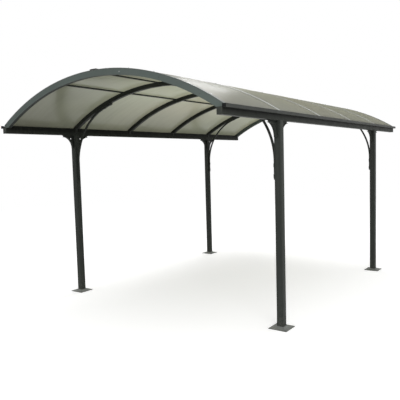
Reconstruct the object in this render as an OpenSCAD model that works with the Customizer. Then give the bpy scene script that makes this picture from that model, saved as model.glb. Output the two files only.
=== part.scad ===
// Carport with four posts and an arched roof of five curved sheets.
// Millimetres, +Z up. X runs across the bay and Y along it, front at -Y.
// The origin lies on the ground under the middle of the roof.

/* [Overall size] */
// Length of the roof, from end arch to end arch
roof_length = 4840; // [4200:10:5900]
// Distance between the left and right post centres
post_span = 2818; // [2300:2:3400]
// Clear height under the eave beams
eave_clearance = 1969; // [1800:1:2400]
// Height from the beam tops to the crown of the roof
arch_rise = 428; // [340:1:520]

/* [Posts] */
// Width of a post
post_w = 70; // [56:1:90]
// Wall of a post
post_wall = 3; // [2:0.5:5]
// Corner radius of a post
post_corner_r = 8; // [5:1:12]
// Width of the grooves that run up each post face
post_groove_w = 4; // [2:0.5:6]
// Depth of those grooves
post_groove_d = 1.5; // [0.5:0.1:1.8]
// Distance of a groove from the middle of its face
post_groove_x = 20; // [10:1:22]

/* [Feet] */
// Thickness of the foot plate
foot_t = 6; // [4:0.5:12]
// Flat rim of the foot plate around its raised middle
foot_rim = 31; // [24:1:50]
// Height of the raised middle
flare_h = 16; // [6:1:30]
// How far the slopes of the raised middle run out
flare_run = 23; // [8:1:40]
// How far the raised middle stands out around the post
flare_margin = 6; // [2:1:15]
// Height of the spigot inside the post
spigot_h = 120; // [60:5:200]
// Wall of the spigot
spigot_wall = 4; // [3:0.5:6]
// Gap between the spigot and the post
spigot_gap = 0.3; // [0.2:0.1:1]
// Distance of an anchor hole from the plate's edges
anchor_edge = 16; // [12:1:18]
// Diameter of an anchor hole
anchor_d = 11; // [8:0.5:14]

/* [Eave beams and gutters] */
// Width of an eave beam
beam_w = 52; // [46:1:64]
// Height of an eave beam
beam_h = 85; // [75:1:110]
// Width of the raised seat that carries the ribs
beam_seat_w = 28; // [20:1:34]
// Drop from the seat to the outer part of the beam
beam_step = 14; // [12:1:18]
// Wall of the beam
beam_wall = 3; // [2:0.5:4]
// Depth of the shadow grooves along the beam faces
beam_groove_d = 1.5; // [0.5:0.1:1.8]
// Height of a shadow groove
beam_groove_h = 4; // [2:0.5:6]
// Height of the shadow groove above the bottom edge
beam_groove_z = 9; // [6:1:14]
// How far the gutter stands out from the beam
gutter_w = 35; // [30:1:50]
// Height of the gutter's outer wall
gutter_h = 28; // [20:1:34]
// Drop from the beam's step to the gutter's floor
gutter_drop = 15; // [6:1:20]
// Thickness of the gutter sheet
gutter_t = 2; // [1.5:0.5:3]
// Thickness of the end caps on beams and gutters
cap_t = 3; // [2:0.5:5]
// How far beams and gutters reach past the end arches
eave_overhang = 20; // [0:1:40]

/* [Arches and ribs] */
// Depth of an end arch, measured from the roof's outer face
end_arch_depth = 60; // [56:1:80]
// Width of an end arch along the roof
end_arch_w = 40; // [34:1:60]
// Depth of an inner rib, measured from the roof's outer face
rib_depth = 54; // [44:1:70]
// Width of an inner rib along the roof
rib_w = 40; // [34:1:60]
// Width of the fin that parts two roof sheets
fin_w = 6; // [4:0.5:10]
// Thickness of a cover strip over a rib
strip_t = 4; // [3:0.5:6]
// Width of a cover strip
strip_w = 40; // [30:1:40]
// How far an end arch reaches below the beam top
arch_foot_drop = 24; // [10:1:40]

/* [Roof sheets and purlins] */
// Thickness of a roof sheet
sheet_t = 6; // [4:0.5:10]
// Gap on each side of a sheet, where its gasket sits
seat_gap = 0.3; // [0.2:0.05:0.5]
// How far a sheet reaches over the gutter, past the beam
sheet_overhang = 12; // [8:1:16]
// Distance of the outer purlins from the ridge, along X
purlin_x = 530; // [400:5:650]
// Width of a purlin
purlin_w = 20; // [14:1:30]
// Depth of a purlin
purlin_d = 12; // [8:1:20]
// Length of a ridge cap over a cover strip joint
ridge_cap_l = 80; // [50:1:120]
// Thickness of a ridge cap
ridge_cap_t = 9; // [6:1:14]

/* [Braces and eave brackets] */
// Depth of a brace bar, in the plane of its rib
brace_t = 18; // [14:1:25]
// Width of a brace bar along the roof
brace_w = 20; // [14:1:30]
// Inner radius of the bend in a brace
brace_bend_r = 700; // [550:5:800]
// Length of the straight lower leg of a brace
brace_leg = 170; // [100:5:260]
// Length of the brace end that lies under the rib
brace_tail = 180; // [100:5:260]
// Length of each leg of an eave bracket
bracket_leg = 155; // [120:1:190]
// Height of the square tip of a bracket leg
bracket_tip = 22; // [14:1:30]
// Width of the flanges against post and beam
bracket_w = 46; // [36:1:50]
// Width of the rim along the curved edge
bracket_rim_w = 30; // [16:1:34]
// Thickness of flanges and rim
bracket_t = 4; // [3:0.5:6]
// Thickness of the web
bracket_web_t = 5; // [4:0.5:8]
// Diameter of the hole in the web
bracket_hole_d = 16; // [8:1:20]
// Distance of that hole from post and beam
bracket_hole_at = 40; // [34:1:44]

/* [Hidden] */
$fn = 48;
arc_fn = 720;
bay_count = 5;
bay_pitch = roof_length / bay_count;
post_y = 1.5 * bay_pitch;
post_half = post_w / 2;
// Inner faces of posts and beams lie in one plane.
inner_x = post_span / 2 - post_half;
outer_x = inner_x + beam_w;
beam_top = eave_clearance + beam_h;
step_top = beam_top - beam_step;
foot_h = foot_t + flare_h;
flare_top_w = post_w + 2 * flare_margin;
flare_base_w = flare_top_w + 2 * flare_run;
foot_w = flare_base_w + 2 * foot_rim;
anchor_pitch = foot_w - 2 * anchor_edge;
spigot_w = post_w - 2 * post_wall - 2 * spigot_gap;
end_arch_y = roof_length / 2 - end_arch_w / 2;
clear_length = roof_length - 2 * end_arch_w;
eave_length = roof_length + 2 * eave_overhang - 2 * cap_t;
gutter_floor = beam_h - beam_step - gutter_drop;
// An end arch stands in a notch at the beam's end, on what is left of the beam's height.
notch_h = beam_h - arch_foot_drop;

// The roof arc runs through the crown and through a point over the beam's outer part.
ridge_z = beam_top + arch_rise;
arc_edge_in = 8;
arc_edge_x = outer_x + arc_edge_in;
arc_r = (pow(arc_edge_x, 2) + pow(arch_rise, 2)) / (2 * arch_rise);
arc_z = ridge_z - arc_r;

// Insets from the roof's outer face: cover strip, sheet, rib.
sheet_in = strip_t + seat_gap;
rib_in = sheet_in + sheet_t + seat_gap;
sheet_edge_x = outer_x + sheet_overhang;

// Ribs stand at the quarter lines between bays; the end arches are flush with the roof's ends.
function arch_y(i) = i == 0 ? -end_arch_y : i == bay_count ? end_arch_y : (i - bay_count / 2) * bay_pitch;
function arch_half_w(i) = (i == 0 || i == bay_count ? end_arch_w : rib_w) / 2;

// The bend of a brace touches the post's inner face and the underside of the rib.
brace_out_r = brace_bend_r + brace_t;
brace_rib_r = arc_r - rib_depth - seat_gap;
brace_cx = inner_x - brace_out_r;
brace_cz = arc_z + sqrt(pow(brace_rib_r - brace_out_r, 2) - pow(brace_cx, 2));
brace_end_a = atan2(brace_cz - arc_z, brace_cx);
brace_tail_a = brace_tail / brace_rib_r * 180 / PI;
brace_bend_steps = 30;
brace_tail_steps = 5;

CORNERS = [
    ["front_left", -1, -1],
    ["front_right", 1, -1],
    ["back_left", -1, 1],
    ["back_right", 1, 1]
];
SIDES = [["left", -1], ["right", 1]];
ENDS = [["front", -1], ["back", 1]];
PURLINS = [["purlin_left", -1], ["purlin_ridge", 0], ["purlin_right", 1]];

frame_colour = [0.20, 0.21, 0.20];
end_arch_colour = [0.33, 0.37, 0.35];
sheet_colour = [0.58, 0.58, 0.50, 0.75];
trim_colour = [0.45, 0.47, 0.46];
foot_colour = [0.44, 0.46, 0.44];
cap_colour = [0.10, 0.10, 0.10];

// Shared shapes -------------------------------------------------------------

// A square outline with round corners
module rounded_square(w, r) {
    straight = w - 2 * r;
    square([w, straight], center = true);
    square([straight, w], center = true);
    for (x = [-1, 1], y = [-1, 1])
        translate([x * straight / 2, y * straight / 2])
            circle(r);
}

// Draws a flat X-Z outline and gives it a length along Y, centred on y = 0
module along_y(length) {
    rotate([90, 0, 0])
        linear_extrude(length, center = true)
            children();
}

// Part of a ring around the origin, between two angles
module ring_sector(r_in, r_out, a0, a1) {
    steps = 6;
    reach = 1.5 * r_out;
    intersection() {
        difference() {
            circle(r_out, $fn = arc_fn);
            circle(r_in, $fn = arc_fn);
        }
        polygon(concat(
            [[0, 0]],
            [for (k = [0:steps]) let (a = a0 + (a1 - a0) * k / steps) reach * [cos(a), sin(a)]]
        ));
    }
}

// Outline of the roof between two insets, cut off at half_x and above low_z
module roof_band(inset_top, inset_bottom, half_x, low_z) {
    intersection() {
        translate([0, arc_z])
            difference() {
                circle(arc_r - inset_top, $fn = arc_fn);
                circle(arc_r - inset_bottom, $fn = arc_fn);
            }
        translate([-half_x, low_z])
            square([2 * half_x, ridge_z]);
    }
}

// Posts and feet ------------------------------------------------------------

module post_section() {
    difference() {
        rounded_square(post_w, post_corner_r);
        rounded_square(post_w - 2 * post_wall, post_corner_r - post_wall);
        for (turn = [0:90:270], side = [-1, 1])
            rotate(turn)
                translate([side * post_groove_x, post_half])
                    square([post_groove_w, 2 * post_groove_d], center = true);
    }
}

module post(sx, sy) {
    color(frame_colour)
        translate([sx * post_span / 2, sy * post_y, foot_h])
            linear_extrude(eave_clearance - foot_h)
                post_section();
}

// The raised middle of a foot, a low block with four sloping sides
module foot_flare() {
    outline = [
        [-flare_base_w / 2, 0],
        [flare_base_w / 2, 0],
        [flare_top_w / 2, flare_h],
        [-flare_top_w / 2, flare_h]
    ];
    intersection() {
        along_y(flare_base_w) polygon(outline);
        rotate(90) along_y(flare_base_w) polygon(outline);
    }
}

module foot(sx, sy) {
    color(foot_colour)
        translate([sx * post_span / 2, sy * post_y, 0]) {
            difference() {
                translate([-foot_w / 2, -foot_w / 2, 0])
                    cube([foot_w, foot_w, foot_t]);
                for (x = [-1, 1], y = [-1, 1])
                    translate([x * anchor_pitch / 2, y * anchor_pitch / 2, -1])
                        cylinder(h = foot_t + 2, d = anchor_d);
            }
            translate([0, 0, foot_t])
                foot_flare();
            translate([0, 0, foot_h])
                linear_extrude(spigot_h)
                    difference() {
                        rounded_square(spigot_w, post_corner_r - post_wall);
                        square(spigot_w - 2 * spigot_wall, center = true);
                    }
        }
}

// Eaves ---------------------------------------------------------------------

// Beam outline, measured from the inner bottom edge of the beam
module beam_outline(wall) {
    polygon([
        [wall, wall],
        [beam_w - wall, wall],
        [beam_w - wall, beam_h - beam_step - wall],
        [beam_seat_w - wall, beam_h - beam_step - wall],
        [beam_seat_w - wall, beam_h - wall],
        [wall, beam_h - wall]
    ]);
}

module beam_section() {
    difference() {
        beam_outline(0);
        beam_outline(beam_wall);
        for (x = [0, beam_w])
            translate([x, beam_groove_z + beam_groove_h / 2])
                square([2 * beam_groove_d, beam_groove_h], center = true);
    }
}

// What a notch leaves of a beam outline
module below_notch() {
    intersection() {
        children();
        square([beam_w, notch_h]);
    }
}

// Trough outline, outside the beam's outer face
module trough_section() {
    end_x = beam_w + gutter_w;
    rim_z = gutter_floor + gutter_h;
    back_z = beam_h - beam_step + gutter_t;
    polygon([
        [beam_w, gutter_floor],
        [end_x, gutter_floor],
        [end_x, rim_z],
        [end_x - gutter_t, rim_z],
        [end_x - gutter_t, gutter_floor + gutter_t],
        [beam_w + gutter_t, gutter_floor + gutter_t],
        [beam_w + gutter_t, back_z],
        [beam_w, back_z]
    ]);
}

// Flange outline, from the seat to the trough, on the beam's step
module flange_section() {
    translate([beam_seat_w, beam_h - beam_step])
        square([beam_w - beam_seat_w, gutter_t]);
}

// Puts an eave outline at its side of the roof
module at_eave(sx, length, y = 0) {
    mirror([sx < 0 ? 1 : 0, 0, 0])
        translate([inner_x, y, eave_clearance])
            along_y(length)
                children();
}

module eave_beam(sx) {
    color(frame_colour) {
        at_eave(sx, clear_length)
            beam_section();
        at_eave(sx, eave_length)
            below_notch() beam_section();
    }
}

module gutter(sx) {
    color(trim_colour) {
        at_eave(sx, eave_length)
            trough_section();
        at_eave(sx, clear_length)
            flange_section();
    }
}

module beam_caps(sy) {
    color(cap_colour)
        for (s = SIDES)
            at_eave(s[1], cap_t, sy * (eave_length + cap_t) / 2)
                below_notch() beam_outline(0);
}

// A gutter cap closes the trough outside the beam's outer face.
module gutter_caps(sy) {
    color(cap_colour)
        for (s = SIDES)
            at_eave(s[1], cap_t, sy * (eave_length + cap_t) / 2)
                translate([beam_w, gutter_floor])
                    square([gutter_w, gutter_h]);
}

// Arches and roof -----------------------------------------------------------

module end_arch(i) {
    foot_z = beam_top - arch_foot_drop;
    color(end_arch_colour)
        translate([0, arch_y(i), 0]) {
            along_y(end_arch_w)
                roof_band(rib_in, end_arch_depth, outer_x, foot_z);
            along_y(fin_w)
                roof_band(sheet_in, rib_in, outer_x, foot_z);
        }
}

module rib(i) {
    color(frame_colour)
        translate([0, arch_y(i), 0]) {
            along_y(rib_w)
                roof_band(rib_in, rib_depth, inner_x + beam_seat_w, beam_top);
            along_y(fin_w)
                roof_band(sheet_in, rib_in, inner_x + beam_seat_w, beam_top);
        }
}

module cover_strip(i) {
    color(trim_colour)
        translate([0, arch_y(i), 0])
            along_y(strip_w)
                roof_band(0, strip_t, outer_x, step_top);
}

module roof_sheet(i) {
    y0 = arch_y(i - 1) + fin_w / 2 + seat_gap;
    y1 = arch_y(i) - fin_w / 2 - seat_gap;
    color(sheet_colour)
        translate([0, (y0 + y1) / 2, 0])
            along_y(y1 - y0)
                roof_band(sheet_in, sheet_in + sheet_t, sheet_edge_x, eave_clearance);
}

// One purlin: a bar in each bay, from rib to rib, under the sheets
module purlin(place) {
    tilt = asin(place * purlin_x / arc_r);
    color(frame_colour)
        for (i = [1:bay_count]) {
            y0 = arch_y(i - 1) + arch_half_w(i - 1);
            y1 = arch_y(i) - arch_half_w(i);
            translate([0, (y0 + y1) / 2, 0])
                along_y(y1 - y0)
                    translate([0, arc_z])
                        rotate(-tilt)
                            translate([-purlin_w / 2, arc_r - rib_in - purlin_d])
                                square([purlin_w, purlin_d]);
        }
}

module ridge_caps() {
    half_a = ridge_cap_l / 2 / arc_r * 180 / PI;
    color(cap_colour)
        for (i = [0:bay_count])
            translate([0, arch_y(i), arc_z])
                along_y(strip_w)
                    ring_sector(arc_r + seat_gap, arc_r + ridge_cap_t, 90 - half_a, 90 + half_a);
}

// Braces and brackets -------------------------------------------------------

// One long edge of a brace: up the post, round the bend, then along the rib's underside
function brace_edge(bend_r, rib_r) = concat(
    [[brace_cx + bend_r, brace_cz - brace_leg]],
    [for (k = [0:brace_bend_steps])
        let (a = brace_end_a * k / brace_bend_steps)
        [brace_cx, brace_cz] + bend_r * [cos(a), sin(a)]],
    [for (k = [1:brace_tail_steps])
        let (a = brace_end_a + brace_tail_a * k / brace_tail_steps)
        [0, arc_z] + rib_r * [cos(a), sin(a)]]
);

module brace(sx, sy) {
    outer_edge = brace_edge(brace_out_r, brace_rib_r);
    inner_edge = brace_edge(brace_bend_r, brace_rib_r - brace_t);
    last = len(inner_edge) - 1;
    color(frame_colour)
        mirror([sx < 0 ? 1 : 0, 0, 0])
            translate([0, sy * post_y, 0])
                along_y(brace_w)
                    polygon(concat(outer_edge, [for (k = [last:-1:0]) inner_edge[k]]));
}

// Bracket outline: x away from the post, y up to the beam's underside at 0
module bracket_outline() {
    difference() {
        translate([0, -bracket_leg])
            square(bracket_leg);
        translate([bracket_leg, -bracket_leg])
            circle(bracket_leg - bracket_tip);
    }
}

module bracket_rim() {
    intersection() {
        bracket_outline();
        translate([bracket_leg, -bracket_leg])
            circle(bracket_leg - bracket_tip + bracket_t);
    }
}

// Gives a Y-Z outline a width along X, centred on x = 0
module along_x(width) {
    rotate([90, 0, 90])
        linear_extrude(width, center = true)
            children();
}

module eave_bracket() {
    along_x(bracket_web_t)
        difference() {
            bracket_outline();
            translate([bracket_hole_at, -bracket_hole_at])
                circle(d = bracket_hole_d);
        }
    along_x(bracket_rim_w)
        bracket_rim();
    along_x(bracket_w)
        translate([0, -bracket_t])
            square([bracket_leg, bracket_t]);
    along_x(bracket_w)
        translate([0, -bracket_leg])
            square([bracket_t, bracket_leg]);
}

// Two brackets, before and behind one post, under the eave beam
module eave_brackets(sx, sy) {
    color(frame_colour)
        translate([sx * (inner_x + beam_w / 2), sy * post_y, eave_clearance])
            for (side = [0, 1])
                mirror([0, side, 0])
                    translate([0, post_half, 0])
                        eave_bracket();
}

// Assembly ------------------------------------------------------------------

for (c = CORNERS) {
    foot(c[1], c[2]);
    post(c[1], c[2]);
    brace(c[1], c[2]);
    eave_brackets(c[1], c[2]);
}
for (s = SIDES) {
    eave_beam(s[1]);
    gutter(s[1]);
}
for (e = ENDS) {
    beam_caps(e[1]);
    gutter_caps(e[1]);
}
end_arch(0);  // end_arch_front
end_arch(bay_count);  // end_arch_back
for (i = [1:bay_count - 1]) {
    rib(i);
}
for (p = PURLINS) {
    purlin(p[1]);
}
for (i = [1:bay_count]) {
    roof_sheet(i);
}
for (i = [0:bay_count]) {
    cover_strip(i);
}
ridge_caps();
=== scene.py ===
import math

import bmesh
import bpy
from mathutils import Matrix, Vector


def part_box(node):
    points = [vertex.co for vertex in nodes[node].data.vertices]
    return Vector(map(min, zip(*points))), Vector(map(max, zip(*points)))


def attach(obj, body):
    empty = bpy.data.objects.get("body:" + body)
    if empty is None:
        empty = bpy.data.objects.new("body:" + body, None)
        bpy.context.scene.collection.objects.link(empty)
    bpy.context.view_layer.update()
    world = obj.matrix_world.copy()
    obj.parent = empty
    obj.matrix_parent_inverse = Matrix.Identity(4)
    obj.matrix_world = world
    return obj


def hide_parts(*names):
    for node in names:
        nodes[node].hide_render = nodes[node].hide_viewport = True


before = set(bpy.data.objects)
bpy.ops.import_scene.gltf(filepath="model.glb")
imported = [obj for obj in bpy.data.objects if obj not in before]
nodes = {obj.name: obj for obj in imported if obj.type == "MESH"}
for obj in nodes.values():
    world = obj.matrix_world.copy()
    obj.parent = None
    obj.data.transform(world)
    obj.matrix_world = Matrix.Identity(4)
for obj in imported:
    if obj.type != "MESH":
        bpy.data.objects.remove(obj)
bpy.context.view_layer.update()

mm = 0.001
bothWays = (-1, 1)
bayCount = 5


# Helpers for node trees
def addNode(tree, kind, values=None, **settings):
    node = tree.nodes.new(kind)
    for key, value in settings.items():
        setattr(node, key, value)
    for key, value in (values or {}).items():
        if isinstance(value, bpy.types.NodeSocket):
            tree.links.new(value, node.inputs[key])
        else:
            node.inputs[key].default_value = value
    return node


def calc(tree, operation, a, b=0.0, c=0.0):
    return addNode(tree, "ShaderNodeMath", {0: a, 1: b, 2: c}, operation=operation).outputs[0]


def spread(tree, value, low, high, toLow=0.0, toHigh=1.0):
    values = {0: value, 1: low, 2: high, 3: toLow, 4: toHigh}
    return addNode(tree, "ShaderNodeMapRange", values).outputs[0]


def blendColours(tree, amount, first, second):
    return addNode(tree, "ShaderNodeMix", {0: amount, 6: first, 7: second}, data_type="RGBA").outputs[2]


def objectPlace(tree):
    return addNode(tree, "ShaderNodeTexCoord").outputs["Object"]


def axisOf(tree, vector, axis):
    return addNode(tree, "ShaderNodeSeparateXYZ", {0: vector}).outputs[axis]


def product(tree, *factors):
    result = factors[0]
    for factor in factors[1:]:
        result = calc(tree, "MULTIPLY", result, factor)
    return result


def noiseValue(tree, scale, detail=3.0, roughness=0.5, stretch=(1.0, 1.0, 1.0)):
    place = objectPlace(tree)
    mapped = addNode(tree, "ShaderNodeMapping", {"Vector": place, "Scale": stretch}).outputs[0]
    values = {"Vector": mapped, "Scale": scale, "Detail": detail, "Roughness": roughness}
    return addNode(tree, "ShaderNodeTexNoise", values).outputs[0]


def newGroup(name, inputs, outputs, kind="ShaderNodeTree"):
    tree = bpy.data.node_groups.new(name, kind)
    for label, socketType, value in inputs:
        socket = tree.interface.new_socket(label, in_out="INPUT", socket_type=socketType)
        if value is not None:
            socket.default_value = value
    for label, socketType in outputs:
        tree.interface.new_socket(label, in_out="OUTPUT", socket_type=socketType)
    return tree, tree.nodes.new("NodeGroupInput").outputs, tree.nodes.new("NodeGroupOutput").inputs


def useGroup(tree, group, values):
    return addNode(tree, "ShaderNodeGroup", values, node_tree=group).outputs


def rgb(r, g, b):
    return (r, g, b, 1.0)


# Surface effects shared by the materials. Most of a noise lies in noiseRange
noiseRange = (0.3, 0.7)
coatPattern = {"toneScale": 1.7, "patchScale": 11.0, "patchRoughness": (-0.05, 0.08)}


def powderCoatGroup():
    inputs = [
        ("Colour", "NodeSocketColor", rgb(0.05, 0.05, 0.05)),
        ("Tone Change", "NodeSocketFloat", 0.12),
        ("Roughness", "NodeSocketFloat", 0.45),
        ("Grain Scale", "NodeSocketFloat", 700.0),
    ]
    outputs = [
        ("Colour", "NodeSocketColor"), ("Roughness", "NodeSocketFloat"), ("Height", "NodeSocketFloat")]
    tree, given, made = newGroup("powderCoat", inputs, outputs)
    broad = spread(tree, noiseValue(tree, coatPattern["toneScale"], 4.0), *noiseRange, -1.0, 1.0)
    change = calc(tree, "MULTIPLY_ADD", broad, given["Tone Change"], 1.0)
    scaled = addNode(tree, "ShaderNodeVectorMath", {0: given["Colour"], "Scale": change}, operation="SCALE")
    patchy = noiseValue(tree, coatPattern["patchScale"], 5.0, 0.6)
    patches = spread(tree, patchy, *noiseRange, *coatPattern["patchRoughness"])
    grain = addNode(tree, "ShaderNodeTexNoise", {
        "Vector": objectPlace(tree), "Scale": given["Grain Scale"], "Detail": 2.0})
    tree.links.new(scaled.outputs[0], made["Colour"])
    tree.links.new(calc(tree, "ADD", given["Roughness"], patches), made["Roughness"])
    tree.links.new(grain.outputs[0], made["Height"])
    return tree


edgePattern = {"samples": 4, "flat": 0.995, "sharp": 0.80, "chipScale": 60.0, "chips": (0.35, 0.62)}


# Edge Colour along the edges: lighter chipped wear on the paints, painted shade on the feet
def edgeWearAndShadeGroup():
    inputs = [
        ("Colour", "NodeSocketColor", rgb(0.05, 0.05, 0.05)),
        ("Edge Colour", "NodeSocketColor", rgb(0.3, 0.3, 0.3)),
        ("Edge Width", "NodeSocketFloat", 0.003),
        ("Amount", "NodeSocketFloat", 0.5),
    ]
    outputs = [("Colour", "NodeSocketColor"), ("Mask", "NodeSocketFloat")]
    tree, given, made = newGroup("edgeWearAndShade", inputs, outputs)
    rounded = addNode(tree, "ShaderNodeBevel", {
        "Radius": given["Edge Width"]}, samples=edgePattern["samples"]).outputs[0]
    flat = addNode(tree, "ShaderNodeNewGeometry").outputs["Normal"]
    facing = addNode(tree, "ShaderNodeVectorMath", {0: rounded, 1: flat}, operation="DOT_PRODUCT")
    edge = spread(tree, facing.outputs["Value"], edgePattern["flat"], edgePattern["sharp"])
    broken = spread(tree, noiseValue(tree, edgePattern["chipScale"], 5.0, 0.7), *edgePattern["chips"])
    mask = product(tree, edge, broken, given["Amount"])
    tree.links.new(blendColours(tree, mask, given["Colour"], given["Edge Colour"]), made["Colour"])
    tree.links.new(mask, made["Mask"])
    return tree


dustPattern = {"levelFrom": 0.35, "cloudScale": 7.0, "clouds": (0.38, 0.68), "splashTop": 0.42,
               "splashFull": 0.02, "splashFade": 2.0, "spotScale": 46.0, "spots": (0.45, 0.62)}


def outdoorDustGroup():
    inputs = [
        ("Colour", "NodeSocketColor", rgb(0.05, 0.05, 0.05)),
        ("Dust Colour", "NodeSocketColor", rgb(0.34, 0.32, 0.27)),
        ("Level Dust", "NodeSocketFloat", 0.35),
        ("Ground Splash", "NodeSocketFloat", 0.3),
    ]
    outputs = [("Colour", "NodeSocketColor"), ("Mask", "NodeSocketFloat")]
    tree, given, made = newGroup("outdoorDust", inputs, outputs)
    normal = addNode(tree, "ShaderNodeNewGeometry").outputs["Normal"]
    level = spread(tree, axisOf(tree, normal, "Z"), dustPattern["levelFrom"], 1.0)
    clouds = spread(tree, noiseValue(tree, dustPattern["cloudScale"], 6.0, 0.65), *dustPattern["clouds"])
    settled = product(tree, level, clouds, given["Level Dust"])
    height = axisOf(tree, objectPlace(tree), "Z")
    near = spread(tree, height, dustPattern["splashTop"], dustPattern["splashFull"])
    low = calc(tree, "POWER", near, dustPattern["splashFade"])
    spots = spread(tree, noiseValue(tree, dustPattern["spotScale"], 4.0, 0.7), *dustPattern["spots"])
    splash = product(tree, low, spots, given["Ground Splash"])
    mask = calc(tree, "MAXIMUM", settled, splash)
    tree.links.new(blendColours(tree, mask, given["Colour"], given["Dust Colour"]), made["Colour"])
    tree.links.new(mask, made["Mask"])
    return tree


# Thin lines, longest along the axis with the fewest lines per metre
streakRange = (0.48, 0.70)


def streakMask(tree, linesPerMetre, amount):
    stretched = addNode(tree, "ShaderNodeVectorMath", {
        0: objectPlace(tree), 1: linesPerMetre}, operation="MULTIPLY").outputs[0]
    lines = addNode(tree, "ShaderNodeTexNoise", {"Vector": stretched, "Scale": 1.0, "Detail": 4.0})
    return calc(tree, "MULTIPLY", spread(tree, lines.outputs[0], *streakRange), amount)


def rainStreakGroup():
    inputs = [
        ("Colour", "NodeSocketColor", rgb(0.05, 0.05, 0.05)),
        ("Streak Colour", "NodeSocketColor", rgb(0.2, 0.2, 0.18)),
        ("Amount", "NodeSocketFloat", 0.3),
        ("Lines Per Metre", "NodeSocketVector", (45.0, 45.0, 2.0)),
    ]
    outputs = [("Colour", "NodeSocketColor"), ("Mask", "NodeSocketFloat")]
    tree, given, made = newGroup("rainStreaks", inputs, outputs)
    mask = streakMask(tree, given["Lines Per Metre"], given["Amount"])
    tree.links.new(blendColours(tree, mask, given["Colour"], given["Streak Colour"]), made["Colour"])
    tree.links.new(mask, made["Mask"])
    return tree


powderCoat = powderCoatGroup()
edgeWearAndShade = edgeWearAndShadeGroup()
outdoorDust = outdoorDustGroup()
rainStreaks = rainStreakGroup()


# Materials
def startMaterial(name):
    material = bpy.data.materials.new(name)
    material.use_nodes = True
    return material, material.node_tree, material.node_tree.nodes["Principled BSDF"]


coatedFinish = {"grainHeight": 0.4 * mm, "dustDulls": 0.35, "endwise": (0.6, 0.8)}


def coatedMetal(name, look):
    material, tree, shader = startMaterial(name)
    coat = useGroup(tree, powderCoat, {
        "Colour": look["colour"], "Tone Change": look["toneChange"],
        "Roughness": look["roughness"], "Grain Scale": look["grainScale"]})
    coated = coat["Colour"]
    # End arches: the faces to front and back carry a painted sky reflection, lighter than the paint on the other
    # faces
    if "sideColour" in look:
        normal = addNode(tree, "ShaderNodeNewGeometry").outputs["Normal"]
        endwise = calc(tree, "ABSOLUTE", axisOf(tree, normal, "Y"))
        sheenOnEnds = spread(tree, endwise, *coatedFinish["endwise"])
        coated = blendColours(tree, sheenOnEnds, look["sideColour"], coated)
    # Darker towards the top, from darkFrom up to darkTo: on the eave beams this is painted shade under the gutter
    if "darkFrom" in look:
        shadedTop = spread(tree, axisOf(tree, objectPlace(tree), "Z"), look["darkFrom"], look["darkTo"])
        coated = blendColours(tree, shadedTop, coated, look["underGutterShade"])
    streaked = useGroup(tree, rainStreaks, {
        "Colour": coated, "Streak Colour": look["streakColour"],
        "Amount": look["streaks"], "Lines Per Metre": look["streakLines"]})
    dusty = useGroup(tree, outdoorDust, {
        "Colour": streaked["Colour"], "Dust Colour": look["dustColour"],
        "Level Dust": look["levelDust"], "Ground Splash": look["splash"]})
    edgeMarked = useGroup(tree, edgeWearAndShade, {
        "Colour": dusty["Colour"], "Edge Colour": look["edgeColour"],
        "Edge Width": look["edgeWidth"], "Amount": look["edgeWearAndShade"]})
    bump = addNode(tree, "ShaderNodeBump", {
        "Height": coat["Height"], "Strength": look["bump"], "Distance": coatedFinish["grainHeight"]})
    dull = calc(tree, "MULTIPLY_ADD", dusty["Mask"], coatedFinish["dustDulls"], coat["Roughness"])
    tree.links.new(edgeMarked["Colour"], shader.inputs["Base Color"])
    tree.links.new(dull, shader.inputs["Roughness"])
    tree.links.new(bump.outputs[0], shader.inputs["Normal"])
    shader.inputs["Metallic"].default_value = look["metallic"]
    shader.inputs["Specular IOR Level"].default_value = look["specular"]
    return material


framePaintLook = {
    "colour": rgb(0.044, 0.049, 0.043), "toneChange": 0.12, "roughness": 0.46, "grainScale": 700.0,
    "streakColour": rgb(0.080, 0.084, 0.074), "streaks": 0.22, "streakLines": (55.0, 55.0, 2.2),
    "dustColour": rgb(0.20, 0.20, 0.17), "levelDust": 0.30, "splash": 0.35,
    "edgeColour": rgb(0.11, 0.12, 0.11), "edgeWidth": 0.004, "edgeWearAndShade": 0.45,
    "bump": 0.25, "metallic": 0.0, "specular": 0.07,
}
# colour is for the faces to front and back, lightened there as a painted sky reflection; sideColour, near the frame
# paint, for the rest
endArchSheenLook = dict(framePaintLook, colour=rgb(0.134, 0.163, 0.150), sideColour=rgb(0.040, 0.045, 0.040),
                   streakColour=rgb(0.16, 0.18, 0.165), streakLines=(9.0, 40.0, 9.0), streaks=0.25,
                   edgeColour=rgb(0.26, 0.28, 0.26))
# Copies of the frame paint: darker on the eave beams and ribs as painted shade, lighter on the posts as painted
# light
eavePaintShadedLook = dict(framePaintLook, colour=rgb(0.032, 0.036, 0.030), streakColour=rgb(0.060, 0.064, 0.056),
                     # darkFrom, darkTo and underGutterShade paint shade on the top of the beams, under the gutter
                     darkFrom=1.985, darkTo=2.022, underGutterShade=rgb(0.010, 0.011, 0.009))
postPaintLitLook = dict(framePaintLook, colour=rgb(0.055, 0.061, 0.055), streakColour=rgb(0.092, 0.097, 0.086))
ribPaintShadedLook = dict(framePaintLook, colour=rgb(0.034, 0.038, 0.033), streakColour=rgb(0.060, 0.064, 0.056))
gutterLook = dict(framePaintLook, colour=rgb(0.056, 0.060, 0.055), streakColour=rgb(0.12, 0.125, 0.11),
                  dustColour=rgb(0.26, 0.25, 0.20), edgeColour=rgb(0.26, 0.27, 0.25), specular=0.12)
coverStripLook = dict(gutterLook, colour=rgb(0.400, 0.415, 0.385), streakLines=(2.0, 60.0, 2.0),
                      streakColour=rgb(0.27, 0.28, 0.25), roughness=0.34, edgeColour=rgb(0.55, 0.56, 0.52),
                      specular=0.4)
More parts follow.
